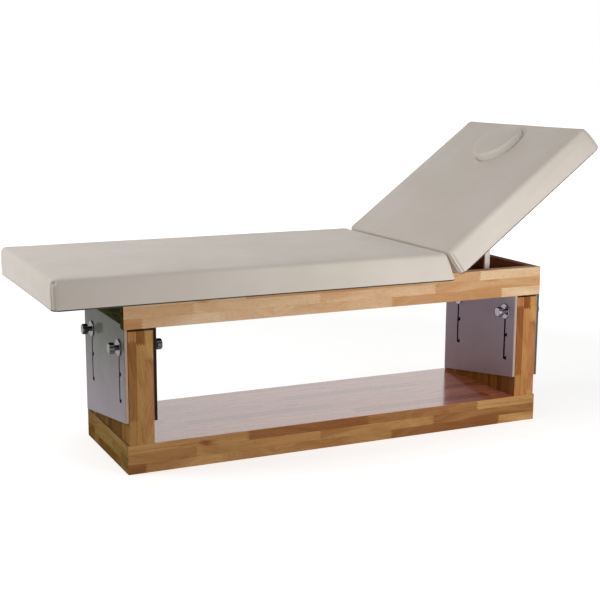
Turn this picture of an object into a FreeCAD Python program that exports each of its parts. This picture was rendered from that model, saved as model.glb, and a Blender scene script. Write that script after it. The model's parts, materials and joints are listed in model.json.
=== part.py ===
import FreeCAD, Part
import math
import os

# Spa bed with a boxed base. Millimetres, +Z up.
# X runs from the foot end to the head end, the front long side faces -Y,
# and the origin is on the floor under the middle of the plinth.
# At rest the bed stands at its lowest height with the back raised.

# Plinth
base_length = 1460.0
base_width = 450.0
plinth_rail_depth = 80.0
plinth_rail_height = 72.0
plinth_end_thickness = 22.0
bearer_width = 40.0
bearer_count = 3
deck_thickness = 18.0

# Pedestals
pedestal_inset = 5.0
pedestal_length = 78.0
pedestal_height = 346.0
post_depth = 80.0
side_board_thickness = 18.0
wood_arris = 2.0

# Lift frame
frame_gap = 6.0
rail_height = 96.0
side_rail_thickness = 35.0
end_rail_thickness = 30.0
cross_rail_width = 35.0
panel_rail_height = 36.0
seat_rail_height = 45.0
seat_rail_count = 3
seat_screw_inset = 40.0
hinge_rail_height = 60.0
hinge_from_head_end = 411.0

# Sliding panels
panel_thickness = 10.0
panel_clearance = 0.5
panel_rear_inset = 14.0
panel_tongue_height = 12.0
panel_front_lift = 70.0
panel_rear_lift = 5.0
panel_arris = 2.0
slot_width = 9.0
hook_reach = 11.0
hook_rise = 5.0

# Height setting
height_step = 82.0
height_steps = 2
clamp_below_frame = 62.0
front_clamp_inset = 55.0
rear_clamp_inset = 99.0

# Clamp hardware
stud_radius = 4.0
insert_radius = 6.0
insert_depth = 15.0
knob_clearance = 0.3
washer_radius = 26.0
washer_thickness = 4.0
washer_bevel = 1.5
turning_clearance = 0.05
knob_neck_radius = 8.0
knob_neck_length = 8.0
knob_grip_radius = 17.0
knob_grip_length = 20.0
knob_dome_height = 4.0
knob_bore_depth = 16.0
flute_count = 6
flute_radius = 5.0
flute_overhang = 2.5

# Dowels and screws
post_dowel_radius = 6.0
post_dowel_reach = 35.0
post_dowel_offset = 20.0
rail_dowel_radius = 5.0
rail_dowel_reach = 20.0
rail_dowel_margin = 10.0
panel_dowel_radius = 3.0
panel_dowel_reach = 16.0
panel_dowel_spacing = 135.0
screw_radius = 2.0
screw_head_radius = 4.0
screw_head_height = 2.0
leaf_screw_length = 20.0
board_screw_grip = 8.0

# Mattress
mattress_width = 700.0
foot_overhang = 232.5
cushion_height = 95.0
cushion_corner = 20.0
top_edge_radius = 16.0
bottom_edge_radius = 6.0
side_draw_in = 4.0
crown_height = 5.0
board_thickness = 12.0
board_inset = 9.0
board_reveal = 0.5
soft_clearance = 0.3
seat_end_lean = 41.0
seat_end_gap = 6.0

# Back
back_rest_angle = 37.0
back_length = 645.0
back_start_gap = 20.0
back_end_radius = 24.0
back_seat_clearance = 0.5

# Face hole and plug
hole_from_head_end = 124.0
plug_half_length = 88.0
plug_half_width = 88.0
plug_proud_height = 33.0
plug_side_clearance = 2.0
plug_ledge = 14.0
plug_board_thickness = 9.0
plug_edge_radius = 8.0
plug_crown = 3.0

# Hinges
hinge_from_rail = 40.0
hinge_pin_radius = 3.0
knuckle_radius = 6.0
hinge_width = 72.0
middle_knuckle_width = 24.0
leaf_thickness = 2.5
frame_leaf_depth = 38.0
back_leaf_length = 62.0
hinge_drop = 4.0
leaf_screw_offset = 24.0
leaf_screw_margin = 12.0
knuckle_clearance = 0.3

# Prop
prop_from_rail = 40.0
prop_pivot_distance = 289.0
prop_pivot_drop = 13.0
prop_leg_width = 19.0
prop_leg_thickness = 6.0
prop_foot_above_frame = 38.0
prop_bar_radius = 6.0
prop_bar_end_gap = 0.5
prop_pin_radius = 3.0
bracket_length = 40.0
bracket_width = 34.0
bracket_plate = 2.0
ear_thickness = 2.5
ear_clearance = 0.4
ear_length = 18.0
bracket_screw_x = 14.0
bracket_screw_y = 12.0
bracket_screw_length = 9.0

# Notched racks
rack_thickness = 6.0
rack_margin = 16.0
rack_below_foot = 26.0
rack_above_foot = 10.0
notch_clearance = 0.5
notch_angle_shares = (1.0, 0.8, 0.6, 0.4)
rack_screw_inset = 10.0
rack_screw_drop = 18.0

# Cuts run past the wood by this much
overrun = 1.0

# Places worked out from the sizes above
deck_top = plinth_rail_height + deck_thickness
pedestal_top = deck_top + pedestal_height
frame_bottom = pedestal_top + frame_gap
frame_top = frame_bottom + rail_height
half_width = base_width / 2
half_length = base_length / 2
pedestal_outer = half_length - pedestal_inset
pedestal_inner = pedestal_outer - pedestal_length
panel_outer = pedestal_outer + panel_clearance + panel_thickness
panel_inner = pedestal_inner - panel_clearance - panel_thickness
rail_inner_y = half_width - side_rail_thickness
hinge_y = rail_inner_y - hinge_from_rail
prop_y = rail_inner_y - prop_from_rail
tongue_top = frame_bottom + panel_tongue_height
clamp_z = frame_bottom - clamp_below_frame
height_travel = height_step * height_steps
clamp_ys = (front_clamp_inset - half_width, half_width - rear_clamp_inset)
half_mattress = mattress_width / 2
foot_end_x = -(panel_outer + foot_overhang)
cushion_bottom = frame_top + board_reveal
cushion_top = frame_top + board_reveal + cushion_height
hinge_rail_face = panel_outer - hinge_from_head_end
hinge_x = hinge_rail_face + knuckle_radius + knuckle_clearance
hinge_z = frame_top - hinge_drop
seat_end_x = hinge_x - seat_end_gap
back_start_x = hinge_x + back_start_gap
back_end_x = back_start_x + back_length
back_board_bottom = frame_top + back_seat_clearance
back_board_top = back_board_bottom + board_thickness
hole_x = back_end_x - hole_from_head_end
prop_pivot_x = hinge_x + prop_pivot_distance
prop_pivot_z = back_board_bottom - prop_pivot_drop
prop_foot_z = frame_bottom + prop_foot_above_frame
rack_inner_y = rail_inner_y - rack_thickness
prop_bar_half = rack_inner_y - prop_bar_end_gap


def vector(x, y, z):
    return FreeCAD.Vector(x, y, z)


along_x = vector(1, 0, 0)
along_y = vector(0, 1, 0)
upward = vector(0, 0, 1)


def block(x_pair, y_pair, z_pair):
    low = vector(min(x_pair), min(y_pair), min(z_pair))
    high = vector(max(x_pair), max(y_pair), max(z_pair))
    size = high - low
    return Part.makeBox(size.x, size.y, size.z, low)


def eased(shape, direction, radius):
    """Round the straight edges that run in one direction."""
    chosen = []
    for edge in shape.Edges:
        start = edge.Vertexes[0].Point
        end = edge.Vertexes[-1].Point
        run = end - start
        if run.Length > 0 and abs(run.normalize().dot(direction)) > 0.999:
            chosen.append(edge)
    return shape.makeFillet(radius, chosen)


def cylinder(radius, length, start, direction):
    return Part.makeCylinder(radius, length, start, direction)


def drilled(shape, tools):
    for tool in tools:
        shape = shape.cut(tool)
    return shape


def prism(points, push):
    wire = Part.makePolygon(points + [points[0]])
    return Part.Face(wire).extrude(push)


def arc(start, middle, end):
    return Part.Arc(start, middle, end).toShape()


def turned_back(shape):
    """Turn a piece of the flat back up to its rest angle about the hinge."""
    raised = shape.copy()
    raised.rotate(vector(hinge_x, 0, hinge_z), -along_y, back_rest_angle)
    return raised


def raised_point(x, z):
    angle = math.radians(back_rest_angle)
    run = x - hinge_x
    rise = z - hinge_z
    return (hinge_x + run * math.cos(angle) - rise * math.sin(angle),
            hinge_z + run * math.sin(angle) + rise * math.cos(angle))


def save(name, shapes):
    if not isinstance(shapes, list):
        shapes = [shapes]
    solids = []
    for shape in shapes:
        solids.extend(shape.Solids)
    body = solids[0] if len(solids) == 1 else Part.makeCompound(solids)
    body.exportStep("parts/" + name + ".step")
    print(name, len(solids), round(body.Volume), body.isValid())


# Plinth and deck

def post_places():
    """Middle of each post in plan, foot end first and front first."""
    post_x = (pedestal_outer + pedestal_inner) / 2
    post_y = half_width - post_depth / 2
    return [(side * post_x, row * post_y) for side in (-1, 1) for row in (-1, 1)]


def post_dowels():
    dowels = []
    for x, y in post_places():
        for shift in (-post_dowel_offset, post_dowel_offset):
            start = vector(x + shift, y, deck_top - post_dowel_reach)
            dowels.append(cylinder(post_dowel_radius, 2 * post_dowel_reach, start, upward))
    return dowels


def plinth_side_rail(row):
    rail = block((-half_length, half_length),
                 (row * half_width, row * (half_width - plinth_rail_depth)),
                 (0, plinth_rail_height))
    return drilled(eased(rail, along_x, wood_arris), post_dowels())


def plinth_end_rail(side):
    return block((side * half_length, side * (half_length - plinth_end_thickness)),
                 (-half_width + plinth_rail_depth, half_width - plinth_rail_depth),
                 (0, plinth_rail_height))


def plinth_bearers():
    bearers = []
    inner = half_width - plinth_rail_depth
    spacing = base_length / (bearer_count + 1)
    for index in range(bearer_count):
        x = -half_length + spacing * (index + 1)
        bearers.append(block((x - bearer_width / 2, x + bearer_width / 2),
                             (-inner, inner), (0, plinth_rail_height)))
    return bearers


def shelf_deck():
    deck = block((-half_length, half_length), (-half_width, half_width),
                 (plinth_rail_height, deck_top))
    return drilled(eased(deck, along_x, wood_arris), post_dowels())


# Pedestals

def clamp_places():
    """Each clamp's panel: the pedestal's face, the way out of it and the height."""
    places = {}
    for end, side in (("foot", -1), ("head", 1)):
        for face, x, way in (("outer", pedestal_outer, 1), ("inner", pedestal_inner, -1)):
            for row, y in zip(("front", "rear"), clamp_ys):
                places[(end, face, row)] = (side * x, side * way, y)
    return places


def clamp_rod(place, radius, first, last):
    """A cylinder on a clamp's axis, between two distances out of the pedestal's face."""
    x, way, y = place
    start = vector(x + way * first, y, clamp_z)
    return cylinder(radius, last - first, start, along_x * way)


def insert_holes():
    return [clamp_rod(place, insert_radius, -insert_depth, overrun)
            for place in clamp_places().values()]


def post(place):
    x, y = place
    half_x = pedestal_length / 2
    half_y = post_depth / 2
    solid = block((x - half_x, x + half_x), (y - half_y, y + half_y), (deck_top, pedestal_top))
    return drilled(eased(solid, upward, wood_arris), post_dowels() + insert_holes())


def pedestal_board(side, face_x, inward):
    inner_y = half_width - post_depth
    board = block((side * face_x, side * (face_x + inward * side_board_thickness)),
                  (-inner_y, inner_y), (deck_top, pedestal_top))
    return drilled(board, insert_holes())


# Clamp hardware

washer_start = panel_clearance + panel_thickness + knob_clearance
knob_start = washer_start + washer_thickness + knob_clearance
stud_end = knob_start + knob_bore_depth


def threaded_insert(place):
    outer = clamp_rod(place, insert_radius, -insert_depth, 0)
    return outer.cut(clamp_rod(place, stud_radius, -insert_depth - overrun, overrun))


def clamp_stud(place):
    return clamp_rod(place, stud_radius, -insert_depth, stud_end)


def clamp_washer(place):
    disc = clamp_rod(place, washer_radius, washer_start, washer_start + washer_thickness)
    outer_x = place[0] + place[1] * (washer_start + washer_thickness)
    rim = [edge for edge in disc.Edges
           if abs(edge.CenterOfMass.x - outer_x) < washer_bevel and edge.Closed]
    disc = disc.makeChamfer(washer_bevel, rim)
    return disc.cut(clamp_rod(place, stud_radius, washer_start - overrun, knob_start))


def clamp_knob(place):
    neck_end = knob_start + knob_neck_length
    grip_end = neck_end + knob_grip_length - knob_dome_height
    crown = knob_grip_radius - knob_dome_height
    profile = [vector(0, 0, knob_start),
               vector(knob_neck_radius, 0, knob_start),
               vector(knob_neck_radius, 0, neck_end),
               vector(knob_grip_radius, 0, neck_end + knob_dome_height),
               vector(knob_grip_radius, 0, grip_end)]
    edges = [Part.LineSegment(a, b).toShape() for a, b in zip(profile, profile[1:])]
    shoulder = vector(crown, 0, grip_end + knob_dome_height)
    bend = knob_dome_height * math.sqrt(0.5)
    middle = vector(crown + bend, 0, grip_end + bend)
    edges.append(arc(profile[-1], middle, shoulder))
    tip = vector(0, 0, grip_end + knob_dome_height)
    edges.append(Part.LineSegment(shoulder, tip).toShape())
    edges.append(Part.LineSegment(tip, profile[0]).toShape())
    knob = Part.Face(Part.Wire(edges)).revolve(vector(0, 0, 0), upward, 360)
    flute_place = knob_grip_radius + flute_overhang
    for index in range(flute_count):
        angle = 2 * math.pi * index / flute_count
        start = vector(flute_place * math.cos(angle), flute_place * math.sin(angle), neck_end)
        knob = knob.cut(cylinder(flute_radius, knob_grip_length + overrun, start, upward))
    bore = cylinder(stud_radius + turning_clearance, stud_end + turning_clearance, vector(0, 0, 0), upward)
    knob = knob.cut(bore)
    x, way, y = place
    knob.rotate(vector(0, 0, 0), along_y, way * 90)
    knob.translate(vector(x, y, clamp_z))
    return knob


# Lift frame

def cross_members():
    """Rails between the side rails: name, low and high X, low and high Z."""
    members = [
        ("frame_foot_rail", -panel_outer, -panel_outer + end_rail_thickness, tongue_top, frame_top),
        ("frame_head_rail", panel_outer - end_rail_thickness, panel_outer, tongue_top, frame_top),
        ("foot_panel_rail", -panel_inner - cross_rail_width, -panel_inner,
         tongue_top, tongue_top + panel_rail_height),
        ("head_panel_rail", panel_inner, panel_inner + cross_rail_width,
         tongue_top, tongue_top + panel_rail_height),
        ("hinge_rail", hinge_rail_face - cross_rail_width, hinge_rail_face,
         frame_top - hinge_rail_height, frame_top),
    ]
    first = -panel_outer + end_rail_thickness
    last = hinge_rail_face - cross_rail_width
    for index in range(seat_rail_count):
        x = first + (last - first) * (index + 1) / (seat_rail_count + 1)
        members.append(("seat_rails", x - cross_rail_width / 2, x + cross_rail_width / 2,
                        frame_top - seat_rail_height, frame_top))
    return members


def frame_dowels():
    dowels = []
    for name, x_low, x_high, z_low, z_high in cross_members():
        x = (x_low + x_high) / 2
        for z in (z_low + rail_dowel_margin, z_high - rail_dowel_margin):
            for row in (-1, 1):
                start = vector(x, row * (rail_inner_y - rail_dowel_reach), z)
                dowels.append(cylinder(rail_dowel_radius, 2 * rail_dowel_reach, start, along_y * row))
    return dowels


def panel_dowel_places():
    """Middle of each panel's thickness, and the spots along it."""
    middles = (panel_outer - panel_thickness / 2, panel_inner + panel_thickness / 2)
    return [(side * x, step * panel_dowel_spacing)
            for side in (-1, 1) for x in middles for step in (-1, 0, 1)]


def panel_dowels():
    return [cylinder(panel_dowel_radius, 2 * panel_dowel_reach,
                     vector(x, y, tongue_top - panel_dowel_reach), upward)
            for x, y in panel_dowel_places()]


def side_rail(row):
    rail = block((-panel_outer, panel_outer), (row * half_width, row * rail_inner_y),
                 (frame_bottom, frame_top))
    return drilled(eased(rail, along_x, wood_arris), frame_dowels() + rack_screws())


def member_solids(wanted):
    solids = []
    for name, x_low, x_high, z_low, z_high in cross_members():
        if name == wanted:
            rail = block((x_low, x_high), (-rail_inner_y, rail_inner_y), (z_low, z_high))
            solids.append(drilled(rail, frame_dowels() + panel_dowels()
                                  + seat_board_screws() + frame_leaf_screws()))
    return solids


# Sliding panels

def slot_run(x, y_from, z_from, y_to, z_to):
    """A round-ended slot cut between two places on a panel."""
    radius = slot_width / 2
    depth = panel_thickness + 2 * overrun
    cut = cylinder(radius, depth, vector(x, y_from, z_from), along_x)
    cut = cut.fuse(cylinder(radius, depth, vector(x, y_to, z_to), along_x))
    run = vector(0, y_to - y_from, z_to - z_from)
    side_step = along_x.cross(run).normalize() * radius
    start = vector(x, y_from, z_from)
    corners = [start - side_step, start + side_step, start + side_step + run, start - side_step + run]
    return cut.fuse(prism(corners, along_x * depth))


def hooked_slot(x, y):
    """The straight slot and its resting hooks, one for each height."""
    cut = slot_run(x, y, clamp_z, y, clamp_z - height_travel)
    for index in range(height_steps + 1):
        z = clamp_z - index * height_step
        cut = cut.fuse(slot_run(x, y, z, y - hook_reach, z))
        cut = cut.fuse(slot_run(x, y - hook_reach, z, y - hook_reach, z + hook_rise))
    return cut


def sliding_panel(side, low_x):
    """A board that hangs from the frame and slides up and down on a pedestal."""
    x = min(side * low_x, side * (low_x + panel_thickness))
    front = -half_width
    rear = half_width - panel_rear_inset
    tongue = rail_inner_y - panel_clearance
    outline = [(front, deck_top + panel_front_lift), (rear, deck_top + panel_rear_lift),
               (rear, frame_bottom), (tongue, frame_bottom), (tongue, tongue_top),
               (-tongue, tongue_top), (-tongue, frame_bottom), (front, frame_bottom)]
    panel = prism([vector(x, y, z) for y, z in outline], along_x * panel_thickness)
    upright = [edge for edge in panel.Edges
               if edge.BoundBox.YLength < panel_clearance
               and edge.BoundBox.XLength < panel_clearance
               and abs(edge.CenterOfMass.y) > rail_inner_y]
    panel = panel.makeFillet(panel_arris, upright)
    for y in clamp_ys:
        panel = panel.cut(hooked_slot(x - overrun, y))
    return drilled(panel, panel_dowels())


# Mattress

def cushion_outline(x_low, x_high, y_half, corner, z):
    """A rounded oblong whose four sides are drawn in between the corners."""
    bend = corner * (1 - math.sqrt(0.5))
    x_middle = (x_low + x_high) / 2

    def spot(x, y):
        return vector(x, y, z)

    front_left = spot(x_low + corner, -y_half)
    front_right = spot(x_high - corner, -y_half)
    right_front = spot(x_high, -y_half + corner)
    right_rear = spot(x_high, y_half - corner)
    rear_right = spot(x_high - corner, y_half)
    rear_left = spot(x_low + corner, y_half)
    left_rear = spot(x_low, y_half - corner)
    left_front = spot(x_low, -y_half + corner)
    edges = [
        arc(front_left, spot(x_middle, -y_half + side_draw_in), front_right),
        arc(front_right, spot(x_high - bend, -y_half + bend), right_front),
        arc(right_front, spot(x_high - side_draw_in, 0), right_rear),
        arc(right_rear, spot(x_high - bend, y_half - bend), rear_right),
        arc(rear_right, spot(x_middle, y_half - side_draw_in), rear_left),
        arc(rear_left, spot(x_low + bend, y_half - bend), left_rear),
        arc(left_rear, spot(x_low + side_draw_in, 0), left_front),
        arc(left_front, spot(x_low + bend, -y_half + bend), front_left),
    ]
    return Part.Wire(edges)


edge_step_shares = (0.0, 0.25, 0.5, 0.75, 1.0)
crown_inset_shares = (0.25, 0.5, 0.75)


def cushion(x_low, x_high, z_low, foot_lean, head_lean, low_end_radius):
    """A crowned cushion. The leans draw its two ends in towards the top."""
    levels = []
    for share in edge_step_shares:
        angle = share * math.pi / 2
        inset = bottom_edge_radius * (1 - math.sin(angle))
        levels.append((bottom_edge_radius * (1 - math.cos(angle)), inset, 0))
    shoulder = cushion_height - crown_height
    for share in edge_step_shares:
        angle = share * math.pi / 2
        inset = 1 - math.cos(angle)
        levels.append((shoulder - top_edge_radius * (1 - math.sin(angle)),
                       top_edge_radius * inset, (low_end_radius - top_edge_radius) * inset))
    flat_half = half_mattress - top_edge_radius
    for share in crown_inset_shares:
        rise = crown_height * (1 - (1 - share) ** 2)
        levels.append((shoulder + rise, top_edge_radius + flat_half * share * share, 0))
    wires = []
    for height, inset, extra in levels:
        lean = height / cushion_height
        corner = max(cushion_corner - inset, bottom_edge_radius)
        wires.append(cushion_outline(x_low + inset + extra + foot_lean * lean,
                                     x_high - inset - head_lean * lean,
                                     half_mattress - inset, corner, z_low + height))
    return Part.makeLoft(wires, True, True)


def board_block(x_low, x_high, z_low, spare):
    """A board under a cushion, or with some spare the pocket that holds it."""
    board = block((x_low + board_inset - spare, x_high - board_inset + spare),
                  (-half_mattress + board_inset - spare, half_mattress - board_inset + spare),
                  (z_low, z_low + board_thickness + spare))
    return eased(board, upward, cushion_corner - board_inset + spare)


def seat_board():
    board = board_block(foot_end_x, seat_end_x, frame_top, 0)
    return drilled(board, seat_board_screws())


def seat_cushion():
    body = cushion(foot_end_x, seat_end_x, cushion_bottom, 0, seat_end_lean, top_edge_radius)
    return body.cut(board_block(foot_end_x, seat_end_x, frame_top, soft_clearance))


def seat_board_screws():
    screws = []
    for name, x_low, x_high, z_low, z_high in cross_members():
        if name != "seat_rails":
            continue
        x = (x_low + x_high) / 2
        for row in (-1, 1):
            y = row * (rail_inner_y - seat_screw_inset)
            shank = cylinder(screw_radius, seat_rail_height + board_screw_grip, vector(x, y, z_low), upward)
            head = cylinder(screw_head_radius, screw_head_height,
                            vector(x, y, z_low - screw_head_height), upward)
            screws.append(shank.fuse(head))
    return screws


# Back, drawn lying flat and then raised

def oval(half_x, half_y, z):
    root = math.sqrt(0.5)
    ends = [(half_x, 0), (0, half_y), (-half_x, 0), (0, -half_y)]
    bends = [(half_x * root, half_y * root), (-half_x * root, half_y * root),
             (-half_x * root, -half_y * root), (half_x * root, -half_y * root)]
    edges = []
    for index in range(len(ends)):
        start = ends[index]
        end = ends[(index + 1) % len(ends)]
        middle = bends[index]
        edges.append(arc(vector(hole_x + start[0], start[1], z),
                         vector(hole_x + middle[0], middle[1], z),
                         vector(hole_x + end[0], end[1], z)))
    return Part.Wire(edges)


def oval_block(spare, z_low, z_high):
    wire = oval(plug_half_length + spare, plug_half_width + spare, z_low)
    return Part.Face(wire).extrude(upward * (z_high - z_low))


def back_board():
    board = board_block(back_start_x, back_end_x, back_board_bottom, 0)
    board = board.cut(oval_block(-plug_ledge, back_board_bottom - overrun, back_board_top + overrun))
    return drilled(board, back_leaf_screws() + bracket_screws())


def back_cushion():
    z_low = back_board_bottom + board_reveal
    body = cushion(back_start_x, back_end_x, z_low, 0, 0, back_end_radius)
    body = body.cut(board_block(back_start_x, back_end_x, back_board_bottom, soft_clearance))
    return body.cut(oval_block(plug_side_clearance, z_low, z_low + cushion_height + overrun))


def plug_board():
    z_low = back_board_top + soft_clearance
    return oval_block(-plug_side_clearance, z_low, z_low + plug_board_thickness)


def plug_pad():
    z_low = back_board_top + soft_clearance + plug_board_thickness
    z_high = back_board_bottom + board_reveal + cushion_height + plug_proud_height
    wires = [oval(plug_half_length, plug_half_width, z_low)]
    for share in edge_step_shares:
        angle = share * math.pi / 2
        inset = plug_edge_radius * (1 - math.cos(angle))
        z = z_high - plug_crown - plug_edge_radius * (1 - math.sin(angle))
        wires.append(oval(plug_half_length - inset, plug_half_width - inset, z))
    for share in crown_inset_shares:
        scale = 1 - share
        rise = plug_crown * (1 - scale ** 2)
        wires.append(oval((plug_half_length - plug_edge_radius) * scale,
                          (plug_half_width - plug_edge_radius) * scale, z_high - plug_crown + rise))
    return Part.makeLoft(wires, True, True)


# Hinges

def knuckle(y_low, y_high, bore):
    tube = cylinder(knuckle_radius, y_high - y_low, vector(hinge_x, y_low, hinge_z), along_y)
    inner = cylinder(bore, y_high - y_low + 2 * overrun, vector(hinge_x, y_low - overrun, hinge_z), along_y)
    return tube, inner


def frame_leaf(row):
    y = row * hinge_y
    half = hinge_width / 2
    tongue = middle_knuckle_width / 2
    top = hinge_z - knuckle_radius - knuckle_clearance
    plate = block((hinge_rail_face, hinge_rail_face + leaf_thickness), (y - half, y + half),
                  (top - frame_leaf_depth, top))
    neck = block((hinge_rail_face, hinge_rail_face + leaf_thickness), (y - tongue, y + tongue),
                 (top, hinge_z))
    tube, bore = knuckle(y - tongue, y + tongue, hinge_pin_radius)
    leaf = plate.fuse(neck).fuse(tube).cut(bore)
    return drilled(leaf, frame_leaf_screws()).removeSplitter()


def frame_leaf_screws():
    screws = []
    z = hinge_z - knuckle_radius - frame_leaf_depth / 2
    for row in (-1, 1):
        for shift in (-leaf_screw_offset, 0, leaf_screw_offset):
            start = vector(hinge_rail_face + leaf_thickness, row * hinge_y + shift, z)
            shank = cylinder(screw_radius, leaf_screw_length, start, -along_x)
            head = cylinder(screw_head_radius, screw_head_height, start, along_x)
            screws.append(shank.fuse(head))
    return screws


def back_leaf(row):
    y = row * hinge_y
    half = hinge_width / 2
    tongue = middle_knuckle_width / 2 + knuckle_clearance
    plate = block((hinge_x + knuckle_radius, hinge_x + back_leaf_length), (y - half, y + half),
                  (back_board_bottom - leaf_thickness, back_board_bottom))
    leaf = plate
    for y_low, y_high in ((y - half, y - tongue), (y + tongue, y + half)):
        tube, bore = knuckle(y_low, y_high, hinge_pin_radius + turning_clearance)
        web = block((hinge_x, hinge_x + knuckle_radius), (y_low, y_high),
                    (back_board_bottom - leaf_thickness, back_board_bottom))
        leaf = leaf.fuse(web).fuse(tube).cut(bore)
    return drilled(leaf, back_leaf_screws()).removeSplitter()


def back_leaf_screws():
    screws = []
    x = hinge_x + back_leaf_length - leaf_screw_margin
    z = back_board_bottom - leaf_thickness
    for row in (-1, 1):
        for shift in (-leaf_screw_offset, 0, leaf_screw_offset):
            start = vector(x, row * hinge_y + shift, z)
            shank = cylinder(screw_radius, leaf_thickness + board_screw_grip, start, upward)
            head = cylinder(screw_head_radius, screw_head_height, start, -upward)
            screws.append(shank.fuse(head))
    return screws


def hinge_pins():
    half = hinge_width / 2
    return [cylinder(hinge_pin_radius, hinge_width, vector(hinge_x, row * hinge_y - half, hinge_z), along_y)
            for row in (-1, 1)]


# Prop

def prop_bracket(row):
    y = row * prop_y
    plate = block((prop_pivot_x - bracket_length / 2, prop_pivot_x + bracket_length / 2),
                  (y - bracket_width / 2, y + bracket_width / 2),
                  (back_board_bottom - bracket_plate, back_board_bottom))
    inner = prop_leg_thickness / 2 + ear_clearance
    for way in (-1, 1):
        span = (y + way * inner, y + way * (inner + ear_thickness))
        tab = block((prop_pivot_x - ear_length / 2, prop_pivot_x + ear_length / 2), span,
                    (prop_pivot_z, back_board_bottom - bracket_plate))
        end = cylinder(ear_length / 2, ear_thickness, vector(prop_pivot_x, min(span), prop_pivot_z), along_y)
        plate = plate.fuse(tab).fuse(end)
    return drilled(plate, prop_pins() + bracket_screws()).removeSplitter()


def prop_pins():
    reach = prop_leg_thickness / 2 + ear_clearance + ear_thickness
    return [cylinder(prop_pin_radius, 2 * reach,
                     vector(prop_pivot_x, row * prop_y - reach, prop_pivot_z), along_y)
            for row in (-1, 1)]


def bracket_screws():
    screws = []
    z = back_board_bottom - bracket_plate
    for row in (-1, 1):
        for shift_x in (-bracket_screw_x, bracket_screw_x):
            for shift_y in (-bracket_screw_y, bracket_screw_y):
                start = vector(prop_pivot_x + shift_x, row * prop_y + shift_y, z)
                shank = cylinder(screw_radius, bracket_screw_length, start, upward)
                head = cylinder(screw_head_radius, screw_head_height, start, -upward)
                screws.append(shank.fuse(head))
    return screws


# The prop stands upright at rest, its foot level with the rack's notches
pivot_rest_x, pivot_rest_z = raised_point(prop_pivot_x, prop_pivot_z)
prop_length = pivot_rest_z - prop_foot_z


def prop_leg(row):
    y = row * prop_y - prop_leg_thickness / 2
    half = prop_leg_width / 2
    leg = block((pivot_rest_x - half, pivot_rest_x + half), (y, y + prop_leg_thickness),
                (prop_foot_z, pivot_rest_z))
    for z in (prop_foot_z, pivot_rest_z):
        leg = leg.fuse(cylinder(half, prop_leg_thickness, vector(pivot_rest_x, y, z), along_y))
    bore = cylinder(prop_pin_radius + turning_clearance, prop_leg_thickness + 2 * overrun,
                    vector(pivot_rest_x, y - overrun, pivot_rest_z), along_y)
    return leg.cut(bore).cut(prop_crossbar()).removeSplitter()


def prop_crossbar():
    start = vector(pivot_rest_x, -prop_bar_half, prop_foot_z)
    return cylinder(prop_bar_radius, 2 * prop_bar_half, start, along_y)


def notch_places():
    """Where the prop's foot stands along the rack at each back angle."""
    places = []
    for share in notch_angle_shares:
        angle = math.radians(back_rest_angle * share)
        run = prop_pivot_x - hinge_x
        rise = prop_pivot_z - hinge_z
        x = hinge_x + run * math.cos(angle) - rise * math.sin(angle)
        height = hinge_z + run * math.sin(angle) + rise * math.cos(angle) - prop_foot_z
        slack = max(prop_length ** 2 - height ** 2, 0)
        places.append(x - math.sqrt(slack))
    return places


def prop_rack(row):
    places = notch_places()
    y_pair = (row * rack_inner_y, row * rail_inner_y)
    top = prop_foot_z + rack_above_foot
    bar = block((min(places) - rack_margin, max(places) + rack_margin), y_pair,
                (prop_foot_z - rack_below_foot, top))
    radius = prop_bar_radius + notch_clearance
    for x in places:
        round_end = cylinder(radius, rack_thickness, vector(x, min(y_pair), prop_foot_z), along_y)
        mouth = block((x - radius, x + radius), y_pair, (prop_foot_z, top + overrun))
        bar = bar.cut(round_end).cut(mouth)
    return drilled(bar, rack_screws())


def rack_screws():
    places = notch_places()
    screws = []
    z = prop_foot_z - rack_screw_drop
    for row in (-1, 1):
        for x in (min(places) - rack_margin + rack_screw_inset, max(places) + rack_margin - rack_screw_inset):
            start = vector(x, row * rack_inner_y, z)
            shank = cylinder(screw_radius, leaf_screw_length, start, along_y * row)
            head = cylinder(screw_head_radius, screw_head_height, start, along_y * row)
            screws.append(shank.fuse(head))
    return screws


# Write every piece

os.makedirs("parts", exist_ok=True)

save("plinth_front_rail", plinth_side_rail(-1))
save("plinth_rear_rail", plinth_side_rail(1))
save("plinth_foot_rail", plinth_end_rail(-1))
save("plinth_head_rail", plinth_end_rail(1))
save("plinth_bearers", plinth_bearers())
save("shelf_deck", shelf_deck())
save("post_dowels", post_dowels())
post_names = ("foot_front_post", "foot_rear_post", "head_front_post", "head_rear_post")
for post_name, post_place in zip(post_names, post_places()):
    save(post_name, post(post_place))
for end_name, end_side in (("foot", -1), ("head", 1)):
    save(end_name + "_outer_board", pedestal_board(end_side, pedestal_outer, -1))
    save(end_name + "_inner_board", pedestal_board(end_side, pedestal_inner, 1))
    save(end_name + "_outer_panel", sliding_panel(end_side, panel_outer - panel_thickness))
    save(end_name + "_inner_panel", sliding_panel(end_side, panel_inner))

all_clamps = clamp_places()
save("threaded_inserts", [threaded_insert(place) for place in all_clamps.values()])
save("clamp_studs", [clamp_stud(place) for place in all_clamps.values()])
save("clamp_washers", [clamp_washer(place) for place in all_clamps.values()])
for clamp, clamp_place in all_clamps.items():
    save("knob_" + "_".join(clamp), clamp_knob(clamp_place))

save("frame_front_rail", side_rail(-1))
save("frame_rear_rail", side_rail(1))
for member_name in sorted(set(member[0] for member in cross_members())):
    save(member_name, member_solids(member_name))
save("frame_dowels", frame_dowels())
save("panel_dowels", panel_dowels())
save("seat_board", seat_board())
save("seat_board_screws", seat_board_screws())
save("seat_cushion", seat_cushion())
save("hinge_frame_leaves", [frame_leaf(row) for row in (-1, 1)])
save("hinge_frame_screws", frame_leaf_screws())
save("hinge_pins", hinge_pins())
save("prop_racks", [prop_rack(row) for row in (-1, 1)])
save("rack_screws", rack_screws())

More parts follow.
